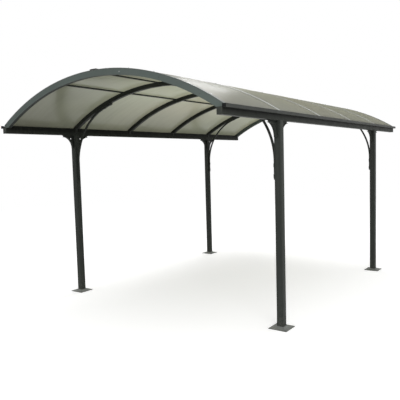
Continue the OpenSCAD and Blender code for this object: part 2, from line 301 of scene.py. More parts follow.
# Feet: the dark edgeColour is painted shade along their rims
footMetalLook = {
    "colour": rgb(0.165, 0.178, 0.168), "toneChange": 0.22, "roughness": 0.50, "grainScale": 260.0,
    "streakColour": rgb(0.12, 0.125, 0.115), "streaks": 0.35, "streakLines": (30.0, 30.0, 12.0),
    "dustColour": rgb(0.34, 0.33, 0.29), "levelDust": 0.45, "splash": 0.25,
    "edgeColour": rgb(0.045, 0.048, 0.044), "edgeWidth": 0.007, "edgeWearAndShade": 0.9,
    "bump": 0.35, "metallic": 0.25, "specular": 0.4,
}
endStripLook = dict(coverStripLook, colour=rgb(0.17, 0.185, 0.175), streakColour=rgb(0.24, 0.25, 0.23),
                    roughness=0.46, specular=0.1)
trimMetalLook = dict(gutterLook, colour=rgb(0.62, 0.63, 0.60), toneChange=0.08, roughness=0.28,
                     metallic=0.1, levelDust=0.2, splash=0.0, edgeColour=rgb(0.75, 0.77, 0.75), specular=0.5)
screwLook = dict(footMetalLook, colour=rgb(0.52, 0.53, 0.52), roughness=0.30, metallic=0.85,
                 edgeWidth=0.0008, edgeColour=rgb(0.70, 0.70, 0.68), edgeWearAndShade=0.5, splash=0.1, levelDust=0.2)
boltLook = dict(screwLook, colour=rgb(0.045, 0.048, 0.045), metallic=0.2, edgeColour=rgb(0.20, 0.20, 0.19),
                specular=0.2)


def mouldedPlastic(name, look):
    material, tree, shader = startMaterial(name)
    mottled = spread(tree, noiseValue(tree, look["mottleScale"], 4.0, 0.6), *noiseRange, *look["mottle"])
    base = addNode(tree, "ShaderNodeVectorMath", {0: look["colour"][:3], "Scale": mottled}, operation="SCALE")
    dusty = useGroup(tree, outdoorDust, {
        "Colour": base.outputs[0], "Dust Colour": look["dustColour"],
        "Level Dust": look["levelDust"], "Ground Splash": 0.0})
    leather = noiseValue(tree, look["grainScale"], 3.0, 0.6)
    bump = addNode(tree, "ShaderNodeBump", {
        "Height": leather, "Strength": look["bump"], "Distance": look["grainHeight"]})
    patches = spread(tree, noiseValue(tree, look["patchScale"], 4.0), *noiseRange, *look["roughness"])
    tree.links.new(dusty["Colour"], shader.inputs["Base Color"])
    tree.links.new(patches, shader.inputs["Roughness"])
    tree.links.new(bump.outputs[0], shader.inputs["Normal"])
    shader.inputs["Specular IOR Level"].default_value = look["specular"]
    return material


blackPlasticLook = {
    "colour": rgb(0.016, 0.017, 0.017), "mottleScale": 26.0, "mottle": (0.82, 1.18),
    "dustColour": rgb(0.12, 0.115, 0.10), "levelDust": 0.25, "grainScale": 420.0, "grainHeight": 0.5 * mm,
    "bump": 0.3, "patchScale": 8.0, "roughness": (0.56, 0.72), "specular": 0.08,
}
greyPlasticLook = dict(blackPlasticLook, colour=rgb(0.060, 0.065, 0.057))
rubberLook = dict(blackPlasticLook, colour=rgb(0.016, 0.016, 0.016), grainScale=900.0,
                  roughness=(0.66, 0.82), specular=0.25)


def tintedSheet(name, look):
    material, tree, shader = startMaterial(name)
    cloudy = spread(tree, noiseValue(tree, look["cloudScale"], 5.0, 0.55), *look["clouds"])
    warm = spread(tree, noiseValue(tree, look["warmScale"], 2.0), *look["warmPatches"])
    streaks = streakMask(tree, look["filmLines"], look["film"])
    film = blendColours(tree, streaks, look["throughColour"], look["filmColour"])
    through = blendColours(tree, calc(tree, "MULTIPLY", warm, look["warmShare"]), film, look["warmColour"])
    place = objectPlace(tree)
    sideways = calc(tree, "ABSOLUTE", axisOf(tree, place, "X"))
    lengthways = axisOf(tree, place, "Y")
    # The glow through the sheet is darker towards the eaves
    eaveDarkening = calc(tree, "POWER", spread(tree, sideways, look["darkFrom"], look["darkTo"]), look["darkPower"])
    dimming = product(
        tree, spread(tree, cloudy, 0.0, 1.0, 1.0 - look["cloudDepth"], 1.0),
        spread(tree, eaveDarkening, 0.0, 1.0, 1.0, look["darkLeaves"]),
        # and dimmer towards the front of the roof
        spread(tree, lengthways, *look["dimFrontAt"], look["dimFront"], 1.0))
    dimmed = addNode(tree, "ShaderNodeVectorMath", {0: through, "Scale": dimming}, operation="SCALE")
    face = useGroup(tree, rainStreaks, {
        "Colour": look["faceColour"], "Streak Colour": look["faceStreak"],
        "Amount": look["film"], "Lines Per Metre": look["filmLines"]})
    bays = calc(tree, "MULTIPLY_ADD", lengthways, 1 / look["bayPitch"], bayCount / 2)
    bayPlace = calc(tree, "FRACT", bays)
    # Each bay darkens towards its front edge: painted shade for the bowed sheet
    bayShaded = blendColours(tree, spread(tree, bayPlace, 0.0, 1.0), look["bayFrontShade"], face["Colour"])
    # Paler towards the eaves: painted light on the sheet's lower slopes
    brightenedAtEaves = blendColours(tree, spread(tree, sideways, *look["eaveBrighteningAt"]), bayShaded, look["eaveBrightening"])
    dusty = useGroup(tree, outdoorDust, {
        "Colour": brightenedAtEaves, "Dust Colour": look["dustColour"],
        "Level Dust": look["levelDust"], "Ground Splash": 0.0})
    waves = noiseValue(tree, look["waveScale"], 2.0, 0.4, stretch=look["waveStretch"])
    bump = addNode(tree, "ShaderNodeBump", {
        "Height": waves, "Strength": look["bump"], "Distance": look["waveHeight"]})
    gloss = spread(tree, cloudy, 0.0, 1.0, *look["roughness"])
    gloss = calc(tree, "ADD", gloss, spread(tree, lengthways, *look["dullFrom"], 0.0, look["dullBy"]))
    tree.links.new(dusty["Colour"], shader.inputs["Base Color"])
    tree.links.new(gloss, shader.inputs["Roughness"])
    tree.links.new(bump.outputs[0], shader.inputs["Normal"])
    shader.inputs["IOR"].default_value = look["ior"]
    shader.inputs["Specular IOR Level"].default_value = look["specular"]
    glow = addNode(tree, "ShaderNodeBsdfTranslucent", {"Color": dimmed.outputs[0]})
    body = addNode(tree, "ShaderNodeMixShader", {
        0: look["throughShare"], 1: shader.outputs[0], 2: glow.outputs[0]})
    clear = addNode(tree, "ShaderNodeBsdfTransparent", {"Color": look["clearColour"]})
    mixed = addNode(tree, "ShaderNodeMixShader", {
        0: look["clearShare"], 1: body.outputs[0], 2: clear.outputs[0]})
    tree.links.new(mixed.outputs[0], tree.nodes["Material Output"].inputs["Surface"])
    return material


# bayFrontShade comes in towards each bay's front edge, painted shade for the sheet's bow; eaveBrightening comes in
# towards the eaves, painted light
tintedSheetLook = {
    "throughColour": rgb(0.94, 0.96, 0.81), "filmColour": rgb(0.68, 0.68, 0.56), "warmColour": rgb(0.97, 0.90, 0.78),
    "warmShare": 0.50, "warmScale": 0.45, "warmPatches": (0.40, 0.62),
    "faceColour": rgb(0.33, 0.335, 0.28), "faceStreak": rgb(0.45, 0.45, 0.39),
    "film": 0.35, "filmLines": (1.2, 22.0, 1.2), "cloudDepth": 0.16, "cloudScale": 0.9, "clouds": (0.32, 0.68),
    "darkFrom": 0.1, "darkTo": 1.38, "darkPower": 1.6, "darkLeaves": 0.58,
    "dimFrontAt": (-2.0, -1.0), "dimFront": 0.74, "dustColour": rgb(0.42, 0.41, 0.35), "levelDust": 0.25,
    "waveScale": 2.2, "waveStretch": (1.0, 1.6, 1.0), "waveHeight": 12 * mm, "bump": 0.22, "roughness": (0.13, 0.25),
    "eaveBrighteningAt": (0.8, 1.4), "eaveBrightening": rgb(0.38, 0.385, 0.33), "dullFrom": (-1.7, -0.4), "dullBy": 0.0,
    "bayPitch": 0.968, "bayFrontShade": rgb(0.33, 0.335, 0.28),
    "ior": 1.58, "specular": 0.5, "throughShare": 0.56, "clearColour": rgb(0.62, 0.64, 0.55), "clearShare": 0.08,
}
# The outer face, darker and greyer than the one underneath as painted shade on top, and duller
shadedOuterSheetLook = dict(tintedSheetLook, faceColour=rgb(0.20, 0.203, 0.160), faceStreak=rgb(0.26, 0.26, 0.22),
                          bayFrontShade=rgb(0.010, 0.011, 0.008), eaveBrightening=rgb(0.44, 0.44, 0.375), dullBy=0.28,
                          roughness=(0.26, 0.38), specular=0.10, levelDust=0.12, bump=0.42)

finish = {
    "framePaint": coatedMetal("framePaint", framePaintLook),
    "postPaintLit": coatedMetal("postPaintLit", postPaintLitLook),
    "eavePaintShaded": coatedMetal("eavePaintShaded", eavePaintShadedLook),
    "ribPaintShaded": coatedMetal("ribPaintShaded", ribPaintShadedLook),
    "endArchPaintWithSheen": coatedMetal("endArchPaintWithSheen", endArchSheenLook),
    "gutterPaint": coatedMetal("gutterPaint", gutterLook),
    "coverStripPaint": coatedMetal("coverStripPaint", coverStripLook),
    "endStripPaint": coatedMetal("endStripPaint", endStripLook),
    "footMetal": coatedMetal("footMetal", footMetalLook),
    "trimMetal": coatedMetal("trimMetal", trimMetalLook),
    "screwMetal": coatedMetal("screwMetal", screwLook),
    "paintedBolt": coatedMetal("paintedBolt", boltLook),
    "blackPlastic": mouldedPlastic("blackPlastic", blackPlasticLook),
    "greyPlastic": mouldedPlastic("greyPlastic", greyPlasticLook),
    "gasketRubber": mouldedPlastic("gasketRubber", rubberLook),
    "tintedSheet": tintedSheet("tintedSheet", tintedSheetLook),
    "shadedOuterSheet": tintedSheet("shadedOuterSheet", shadedOuterSheetLook),
}
nodeFinish = {
    "foot": "footMetal", "post": "postPaintLit", "brace": "framePaint", "eave_brackets": "framePaint",
    "eave_beam": "eavePaintShaded", "gutter": "gutterPaint", "gutter_caps": "blackPlastic", "beam_caps": "greyPlastic",
    "end_arch": "endArchPaintWithSheen", "rib": "ribPaintShaded", "purlin": "ribPaintShaded", "ridge_caps": "blackPlastic",
    "cover_strip": "coverStripPaint", "cover_strip_1": "endStripPaint", "cover_strip_6": "endStripPaint",
    "roof_sheet": "tintedSheet",
}
# The longest name that fits a node gives its finish
for name, node in nodes.items():
    kind = max((key for key in nodeFinish if name.startswith(key)), key=len)
    if not node.material_slots:
        node.data.materials.append(None)
    for place in node.material_slots:
        place.material = finish[nodeFinish[kind]]
print("materials on", len(nodes), "frame nodes")


# Helpers for pieces
def finishPiece(obj, material):
    if material is not None:
        obj.data.materials.clear()
        obj.data.materials.append(finish[material])
    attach(obj, "root")


def pieceFromMesh(bm, name, material):
    bmesh.ops.remove_doubles(bm, verts=bm.verts, dist=1e-6)
    bmesh.ops.recalc_face_normals(bm, faces=bm.faces)
    mesh = bpy.data.meshes.new(name)
    bm.to_mesh(mesh)
    bm.free()
    obj = bpy.data.objects.new(name, mesh)
    bpy.context.scene.collection.objects.link(obj)
    finishPiece(obj, material)


# Draws an outline in the X-Y plane of place out along its Z, to both sides
def prism(bm, outline, place, length):
    rings = []
    for z in (-length / 2, length / 2):
        rings.append([bm.verts.new(place @ Vector((x, y, z))) for x, y in outline])
    count = len(outline)
    for i in range(count):
        j = (i + 1) % count
        bm.faces.new((rings[0][i], rings[0][j], rings[1][j], rings[1][i]))
    bm.faces.new(reversed(rings[0]))
    bm.faces.new(rings[1])


def frameAt(origin, xAxis, yAxis):
    x, y = Vector(xAxis).normalized(), Vector(yAxis).normalized()
    z = x.cross(y)
    matrix = Matrix((x, y, z)).transposed().to_4x4()
    matrix.translation = Vector(origin)
    return matrix


# Radius and centre height of the arc along a node's outer face, and its half width
def circleThrough(node):
    points = [v.co for v in nodes[node].data.vertices]
    top = max(p.z for p in points)
    edge = max(p.x for p in points)
    edgeTop = max(p.z for p in points if p.x > edge - 1e-5)
    rise = top - edgeTop
    radius = (edge * edge + rise * rise) / (2 * rise)
    return radius, top - radius, edge


roofRadius, roofCentreZ, stripEdge = circleThrough("cover_strip_3")
sheetPoints = [v.co for v in nodes["roof_sheet_3"].data.vertices]
sheetEdge = max(p.x for p in sheetPoints)
sheetRadius = max(math.hypot(p.x, p.z - roofCentreZ) for p in sheetPoints)
stripBoxes = [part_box(f"cover_strip_{i + 1}") for i in range(bayCount + 1)]
archY = [(low.y + high.y) / 2 for low, high in stripBoxes]
stripHalf = (stripBoxes[2][1].y - stripBoxes[2][0].y) / 2
sheetInset = roofRadius - sheetRadius
print("roof radius", round(roofRadius, 4), "sheet radius", round(sheetRadius, 4))
print("arches at", [round(y, 3) for y in archY])


# A point at a depth under the roof's outer face, and the outward direction there
def onRoof(x, y, inset):
    angle = math.asin(x / roofRadius)
    outward = Vector((math.sin(angle), 0.0, math.cos(angle)))
    return Vector((0.0, y, roofCentreZ)) + outward * (roofRadius - inset), outward


# Helpers for Geometry Nodes
def newShapeTree(name, inputs):
    outputs = [("Geometry", "NodeSocketGeometry")]
    return newGroup(name, [("Geometry", "NodeSocketGeometry", None), *inputs], outputs, "GeometryNodeTree")


def coatShape(tree, shape, material):
    real = addNode(tree, "GeometryNodeRealizeInstances", {"Geometry": shape}).outputs[0]
    return addNode(tree, "GeometryNodeSetMaterial", {"Geometry": real, "Material": material}).outputs[0]


# Runs a shape tree on an object and keeps the result as a plain mesh
def growPiece(name, tree, values, seedMesh=None):
    mesh = seedMesh or bpy.data.meshes.new(name + "Seed")
    seed = bpy.data.objects.new(name + "Seed", mesh)
    bpy.context.scene.collection.objects.link(seed)
    modifier = seed.modifiers.new("shape", "NODES")
    modifier.node_group = tree
    for item in tree.interface.items_tree:
        if item.item_type == "SOCKET" and item.in_out == "INPUT" and item.name in values:
            modifier[item.identifier] = values[item.name]
    bpy.context.view_layer.update()
    made = bpy.data.meshes.new_from_object(seed.evaluated_get(bpy.context.evaluated_depsgraph_get()))
    bpy.data.objects.remove(seed)
    made.name = name
    obj = bpy.data.objects.new(name, made)
    bpy.context.scene.collection.objects.link(obj)
    return obj


# Roof sheets: a flat fluted plate, bent to the roof's arc. It bulges between its strips, and the
# two bulgePowers round that off across the sheet and keep it even along the arc
roofSheet = {"thickness": 6 * mm, "bulge": 5 * mm, "bulgePowers": (2.0, 12.0), "flutePitch": 16 * mm,
             "fluteDepth": 0.25 * mm, "pointsPerFlute": 4, "pointsAlong": 57, "sharpFrom": 0.7, "outerFrom": 0.7}


def flutedSheetTree():
    inputs = [
        ("Arc Length", "NodeSocketFloat", 3.0), ("Width", "NodeSocketFloat", 0.96),
        ("Thickness", "NodeSocketFloat", 0.006), ("Radius", "NodeSocketFloat", 2.6),
        ("Centre Z", "NodeSocketFloat", 0.0), ("Middle Y", "NodeSocketFloat", 0.0),
        ("Flute Pitch", "NodeSocketFloat", 0.016), ("Flute Depth", "NodeSocketFloat", 0.0002),
        ("Bulge", "NodeSocketFloat", 0.004),
        ("Points Along", "NodeSocketInt", 49), ("Points Across", "NodeSocketInt", 241),
        ("Material", "NodeSocketMaterial", None), ("Outer Material", "NodeSocketMaterial", None),
    ]
    tree, given, made = newShapeTree("flutedSheet", inputs)
    grid = addNode(tree, "GeometryNodeMeshGrid", {
        "Size X": given["Arc Length"], "Size Y": given["Width"],
        "Vertices X": given["Points Along"], "Vertices Y": given["Points Across"]}).outputs["Mesh"]
    under = addNode(tree, "GeometryNodeFlipFaces", {"Mesh": grid}).outputs[0]
    raised = addNode(tree, "GeometryNodeExtrudeMesh", {
        "Mesh": grid, "Offset Scale": given["Thickness"], "Individual": False}, mode="FACES").outputs["Mesh"]
    joined = tree.nodes.new("GeometryNodeJoinGeometry")
    tree.links.new(under, joined.inputs[0])
    tree.links.new(raised, joined.inputs[0])
    closed = addNode(tree, "GeometryNodeMergeByDistance", {
        "Geometry": joined.outputs[0], "Distance": 1e-5}).outputs[0]
    position = addNode(tree, "GeometryNodeInputPosition").outputs[0]
    place = addNode(tree, "ShaderNodeSeparateXYZ", {0: position}).outputs
    share = calc(tree, "DIVIDE", place["Z"], given["Thickness"])
    face = calc(tree, "MULTIPLY_ADD", share, 2.0, -1.0)
    turns = calc(tree, "DIVIDE", calc(tree, "MULTIPLY", place["Y"], 2 * math.pi), given["Flute Pitch"])
    dip = calc(tree, "MULTIPLY_ADD", calc(tree, "COSINE", turns), 0.5, -0.5)
    ripple = product(tree, dip, given["Flute Depth"], face)
    depth = calc(tree, "SUBTRACT", place["Z"], given["Thickness"])
    aside = calc(tree, "DIVIDE", calc(tree, "MULTIPLY", place["Y"], 2.0), given["Width"])
    endways = calc(tree, "DIVIDE", calc(tree, "MULTIPLY", place["X"], 2.0), given["Arc Length"])
    # No bulge at the edges, where strips and channels hold the sheet
    free = [calc(tree, "SUBTRACT", 1.0, calc(tree, "POWER", calc(tree, "ABSOLUTE", way), power))
            for way, power in zip((aside, endways), roofSheet["bulgePowers"])]
    bulge = product(tree, calc(tree, "MAXIMUM", product(tree, *free), 0.0), given["Bulge"])
    level = calc(tree, "ADD", calc(tree, "ADD", given["Radius"], depth), ripple)
    radius = calc(tree, "ADD", level, bulge)
    angle = calc(tree, "DIVIDE", place["X"], given["Radius"])
    newX = calc(tree, "MULTIPLY", radius, calc(tree, "SINE", angle))
    newZ = calc(tree, "MULTIPLY_ADD", radius, calc(tree, "COSINE", angle), given["Centre Z"])
    newY = calc(tree, "ADD", place["Y"], given["Middle Y"])
    bent = addNode(tree, "ShaderNodeCombineXYZ", {0: newX, 1: newY, 2: newZ}).outputs[0]
    moved = addNode(tree, "GeometryNodeSetPosition", {"Geometry": closed, "Position": bent}).outputs[0]
    smooth = addNode(tree, "GeometryNodeSetShadeSmooth", {"Geometry": moved, "Shade Smooth": True}).outputs[0]
    turn = addNode(tree, "GeometryNodeInputMeshEdgeAngle").outputs["Unsigned Angle"]
    corner = addNode(tree, "FunctionNodeCompare", {
        0: turn, 1: roofSheet["sharpFrom"]}, operation="GREATER_THAN").outputs[0]
    crisp = addNode(tree, "GeometryNodeSetShadeSmooth", {
        "Geometry": smooth, "Selection": corner, "Shade Smooth": False}, domain="EDGE").outputs[0]
    coated = coatShape(tree, crisp, given["Material"])
    # Upward faces take the outer sheet material, whose darker colour is painted shade
    upward = axisOf(tree, addNode(tree, "GeometryNodeInputNormal").outputs[0], "Z")
    outside = addNode(tree, "FunctionNodeCompare", {
        0: upward, 1: roofSheet["outerFrom"]}, operation="GREATER_THAN").outputs[0]
    outerShaded = addNode(tree, "GeometryNodeSetMaterial", {
        "Geometry": coated, "Selection": outside, "Material": given["Outer Material"]}).outputs[0]
    tree.links.new(outerShaded, made["Geometry"])
    return tree


sheetTurn = math.asin(sheetEdge / sheetRadius)
flutedSheet = flutedSheetTree()
for i in range(1, bayCount + 1):
    low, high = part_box(f"roof_sheet_{i}")
    width = high.y - low.y
    across = int(width / roofSheet["flutePitch"] * roofSheet["pointsPerFlute"]) + 1
    sheet = growPiece(f"fluted_sheet_{i}", flutedSheet, {
        "Arc Length": 2 * sheetTurn * sheetRadius, "Width": width,
        "Thickness": roofSheet["thickness"], "Radius": sheetRadius, "Centre Z": roofCentreZ,
        "Middle Y": (low.y + high.y) / 2, "Flute Pitch": roofSheet["flutePitch"],
        "Flute Depth": roofSheet["fluteDepth"], "Bulge": roofSheet["bulge"],
        "Points Along": roofSheet["pointsAlong"], "Points Across": across,
        "Material": finish["tintedSheet"], "Outer Material": finish["shadedOuterSheet"]})
    finishPiece(sheet, None)
    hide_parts(f"roof_sheet_{i}")
print("five fluted sheets")

# Light metal channels that close the sheets' lower edges
sheetTrim = {"lap": 12 * mm, "wall": 1.1 * mm, "nose": 1.0 * mm, "bend": 0.6 * mm, "lip": 1.5 * mm,
             "endGap": 1 * mm}
bm = bmesh.new()
half = roofSheet["thickness"] / 2
outer = half + sheetTrim["wall"]
lap, nose, bend = sheetTrim["lap"], sheetTrim["nose"], sheetTrim["bend"]
channel = [
    (-lap, half), (-lap - sheetTrim["lip"], outer), (nose - bend, outer), (nose, outer - bend),
    (nose, -outer + bend), (nose - bend, -outer), (-lap, -outer), (-lap, -half), (0.0, -half), (0.0, half)]
for i in range(1, bayCount + 1):
    low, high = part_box(f"roof_sheet_{i}")
    for side in bothWays:
        outward = Vector((side * math.sin(sheetTurn), 0.0, math.cos(sheetTurn)))
        along = Vector((side * math.cos(sheetTurn), 0.0, -math.sin(sheetTurn)))
        middle = Vector((0.0, (low.y + high.y) / 2, roofCentreZ)) + outward * (sheetRadius - half)
        prism(bm, channel, frameAt(middle, along, outward), high.y - low.y - 2 * sheetTrim["endGap"])
pieceFromMesh(bm, "sheet_edge_channels", "trimMetal")

# Sealing lips beside every cover strip and rib, above and below the sheets
sealLip = {"reach": 2.5 * mm, "thickness": 1.1 * mm, "endGapAbove": 2 * mm, "endGapBelow": 4 * mm}
arcPoints = 61


# A bar along the roof's arc, from y0 to y1 and between two depths under the outer face
def arcBar(bm, y0, y1, insetTop, insetBottom, halfX):
    rings = []
    for k in range(arcPoints):
        x = halfX * (2 * k / (arcPoints - 1) - 1)
        rings.append([bm.verts.new(onRoof(x, y, inset)[0]) for y, inset in (
            (y0, insetTop), (y1, insetTop), (y1, insetBottom), (y0, insetBottom))])
    for first, second in zip(rings, rings[1:]):
        for a in range(4):
            b = (a + 1) % 4
            bm.faces.new((first[a], first[b], second[b], second[a]))
    bm.faces.new(rings[0])
    bm.faces.new(reversed(rings[-1]))


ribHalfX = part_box("rib_2")[1].x
lipsAbove, lipsBelow = bmesh.new(), bmesh.new()
below = sheetInset + roofSheet["thickness"]
lip = sealLip["thickness"]
for i, y in enumerate(archY):
    for way in bothWays:
        if (i == 0 and way < 0) or (i == bayCount and way > 0):
            continue
        y0, y1 = sorted((y + way * stripHalf, y + way * (stripHalf + sealLip["reach"])))
        aboveEnd, belowEnd = stripEdge - sealLip["endGapAbove"], ribHalfX - sealLip["endGapBelow"]
        arcBar(lipsAbove, y0, y1, sheetInset - lip, sheetInset, aboveEnd)
        arcBar(lipsBelow, y0, y1, below, below + lip, belowEnd)
pieceFromMesh(lipsAbove, "strip_lips", "coverStripPaint")
pieceFromMesh(lipsBelow, "seal_lips", "gasketRubber")

# Infills that close the slot between an end arch and its cover strip
infill = {"behindFace": 1.5 * mm, "fromMiddle": 3 * mm, "top": 4.05 * mm, "bottom": 10.55 * mm, "endGap": 1 * mm}
endArches = ((archY[0], -1), (archY[-1], 1))
bm = bmesh.new()
for y, way in endArches:
    y0, y1 = sorted((y + way * (stripHalf - infill["behindFace"]), y + way * infill["fromMiddle"]))
    arcBar(bm, y0, y1, infill["top"], infill["bottom"], stripEdge - infill["endGap"])
pieceFromMesh(bm, "end_arch_infills", "endArchPaintWithSheen")
print("channels, lips and infills")

# Saddles that hold the braces to posts and ribs
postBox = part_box("post_front_right")
postX, postY = (postBox[0].x + postBox[1].x) / 2, -(postBox[0].y + postBox[1].y) / 2
postHalf = (postBox[1].x - postBox[0].x) / 2
innerX = postX - postHalf
corners = [(sx, sy) for sx in bothWays for sy in bothWays]
brace = {"bottomZ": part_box("brace_front_right")[0].z, "bendRadius": 0.700, "leg": 0.170, "tail": 0.180,
         "depth": 18 * mm, "half": 10 * mm}
saddle = {"plate": 2.5 * mm, "bend": 1.5 * mm, "play": 0.2 * mm, "seat": 0.1 * mm, "length": 34 * mm,
          "postReach": 27 * mm, "postRises": (0.035, 0.135), "postBoltAside": 20 * mm,
          "ribReach": 19 * mm, "ribShares": (0.30, 0.80), "ribBoltAside": 15.8 * mm}
ribUnderside = 54 * mm


# A top-hat shape over the brace's bar, drawn round as one closed outline
def saddleOutline(reach):
    t, bend, seat = saddle["plate"], saddle["bend"], saddle["seat"]
    depth, half = brace["depth"] + saddle["play"], brace["half"] + saddle["play"]
    right = [(reach, seat), (reach, t), (half + t + bend, t), (half + t, t + bend),
             (half + t, depth + t - bend), (half + t - bend, depth + t)]
    inner = [(half, seat), (half, depth)]
    return [*right, *[(-x, y) for x, y in reversed(right)], *[(-x, y) for x, y in inner], *reversed(inner)]


# A brace rises along the post, bends over, and follows the rib from tailStart on
bendX, bendZ = innerX - brace["bendRadius"] - brace["depth"], brace["bottomZ"] + brace["leg"]
tailStart = math.atan2(bendZ - roofCentreZ, bendX)
tailTurn = brace["tail"] / (roofRadius - ribUnderside)
saddleBolts = []


def setSaddle(bm, origin, outward, reach, boltAside):
    prism(bm, saddleOutline(reach), frameAt(origin, (0, 1, 0), outward), saddle["length"])
    for way in bothWays:
        saddleBolts.append((origin + outward * saddle["plate"] + Vector((0, way * boltAside, 0)), outward))


bm = bmesh.new()
for sx, sy in corners:
    for rise in saddle["postRises"]:
        origin = Vector((sx * innerX, sy * postY, brace["bottomZ"] + rise))
        setSaddle(bm, origin, Vector((-sx, 0, 0)), saddle["postReach"], saddle["postBoltAside"])
    for share in saddle["ribShares"]:
        angle = tailStart + tailTurn * share
        outward = Vector((sx * math.cos(angle), 0, math.sin(angle)))
        origin = Vector((0, sy * postY, roofCentreZ)) + outward * (roofRadius - ribUnderside)
        setSaddle(bm, origin, -outward, saddle["ribReach"], saddle["ribBoltAside"])
pieceFromMesh(bm, "brace_saddles", "framePaint")

# Angle cleats under the ribs' feet, and clips at the purlin ends
cleat = {"thickness": 3 * mm, "bend": 2 * mm, "down": 50 * mm, "out": 38 * mm, "width": 34 * mm, "gap": 0.2 * mm,
         "sideBoltAside": 9 * mm, "sideBoltDown": 32 * mm, "topBoltOut": 24 * mm}
clip = {"thickness": 1.5 * mm, "leg": 18 * mm, "width": 16 * mm, "screwAt": 11 * mm, "gap": 0.1 * mm}
purlin = {"gap": 0.3 * mm, "depth": 12 * mm}
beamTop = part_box("rib_1")[0].z
bolts, clipScrews = [], []
bm = bmesh.new()
t, bend, gap = cleat["thickness"], cleat["bend"], cleat["gap"]
cleatOutline = [(0, 0), (-cleat["out"], 0), (-cleat["out"], -t), (-t - bend, -t), (-t, -t - bend),
                (-t, -cleat["down"]), (0, -cleat["down"])]
for y in archY[1:-1]:
    for sx in bothWays:
        place = frameAt((sx * (innerX - gap), y, beamTop - gap), (sx, 0, 0), (0, 0, 1))
        prism(bm, cleatOutline, place, cleat["width"])
        for way in bothWays:
            spot = (sx * (innerX - t), y + way * cleat["sideBoltAside"], beamTop - cleat["sideBoltDown"])
            bolts.append((Vector(spot), Vector((-sx, 0, 0))))
        bolts.append((Vector((sx * (innerX - cleat["topBoltOut"]), y, beamTop - t)), Vector((0, 0, -1))))
purlinX = (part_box("purlin_right")[0].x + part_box("purlin_right")[1].x) / 2
clipInset = sheetInset + roofSheet["thickness"] + purlin["gap"] + purlin["depth"] + clip["gap"]
t, leg = clip["thickness"], clip["leg"]
clipOutline = [(0, 0), (leg, 0), (leg, t), (t, t), (t, leg), (0, leg)]
for x in (-purlinX, 0.0, purlinX):
    for i in range(bayCount):
        for arch, way in ((i, 1), (i + 1, -1)):
            point, outward = onRoof(x, archY[arch] + way * (stripHalf + clip["gap"]), clipInset)
            along = Vector((0, way, 0))
            prism(bm, clipOutline, frameAt(point, along, -outward), clip["width"])
            clipScrews.append((point - outward * t + along * clip["screwAt"], -outward))
            clipScrews.append((point - outward * clip["screwAt"] + along * t, along))
pieceFromMesh(bm, "rib_cleats", "framePaint")


# Screw and bolt heads: a washer with a many-sided head, turned at random and set on every point
washer = {"sides": 18, "taper": 0.86}
mostTurn = 6.28


def fastenerTree():
    inputs = [
        ("Washer Radius", "NodeSocketFloat", 0.006), ("Washer Height", "NodeSocketFloat", 0.001),
        ("Head Radius", "NodeSocketFloat", 0.004), ("Head Height", "NodeSocketFloat", 0.003),
        ("Head Sides", "NodeSocketInt", 6), ("Head Taper", "NodeSocketFloat", 0.9),
        ("Seed", "NodeSocketInt", 4), ("Material", "NodeSocketMaterial", None),
    ]
    tree, given, made = newShapeTree("fasteners", inputs)
    washerTop = calc(tree, "MULTIPLY", given["Washer Radius"], washer["taper"])
    disc = addNode(tree, "GeometryNodeMeshCone", {
        "Vertices": washer["sides"], "Radius Top": washerTop, "Radius Bottom": given["Washer Radius"],
        "Depth": given["Washer Height"]}).outputs["Mesh"]
    headTop = calc(tree, "MULTIPLY", given["Head Radius"], given["Head Taper"])
    head = addNode(tree, "GeometryNodeMeshCone", {
        "Vertices": given["Head Sides"], "Radius Top": headTop, "Radius Bottom": given["Head Radius"],
        "Depth": given["Head Height"]}).outputs["Mesh"]
    lift = addNode(tree, "ShaderNodeCombineXYZ", {2: given["Washer Height"]}).outputs[0]
    seated = addNode(tree, "GeometryNodeTransform", {"Geometry": head, "Translation": lift}).outputs[0]
    whole = tree.nodes.new("GeometryNodeJoinGeometry")
    tree.links.new(disc, whole.inputs[0])
    tree.links.new(seated, whole.inputs[0])
    facing = addNode(tree, "GeometryNodeInputNamedAttribute", {
        "Name": "facing"}, data_type="FLOAT_VECTOR").outputs[0]
    aimed = addNode(tree, "FunctionNodeAlignRotationToVector", {"Vector": facing}, axis="Z").outputs[0]
    turn = addNode(tree, "FunctionNodeRandomValue", {
        2: 0.0, 3: mostTurn, "Seed": given["Seed"]}, data_type="FLOAT").outputs[1]
    spin = addNode(tree, "FunctionNodeAxisAngleToRotation", {"Axis": (0, 0, 1), "Angle": turn}).outputs[0]
    turned = addNode(tree, "FunctionNodeRotateRotation", {0: aimed, 1: spin}, rotation_space="LOCAL").outputs[0]
    placed = addNode(tree, "GeometryNodeInstanceOnPoints", {
        "Points": given["Geometry"], "Instance": whole.outputs[0], "Rotation": turned}).outputs[0]
    tree.links.new(coatShape(tree, placed, given["Material"]), made["Geometry"])
    return tree


fasteners = fastenerTree()


# places are pairs of a point and the way its head faces
def setFasteners(name, places, sizes, material):
    mesh = bpy.data.meshes.new(name + "Points")
    mesh.from_pydata([point for point, _ in places], [], [])
    facing = mesh.attributes.new("facing", "FLOAT_VECTOR", "POINT")
    facing.data.foreach_set("vector", [value for _, direction in places for value in direction])
    obj = growPiece(name, fasteners, {**sizes, "Material": finish[material]}, mesh)
    finishPiece(obj, None)
    print(name, len(places), "heads,", len(obj.data.polygons), "faces")


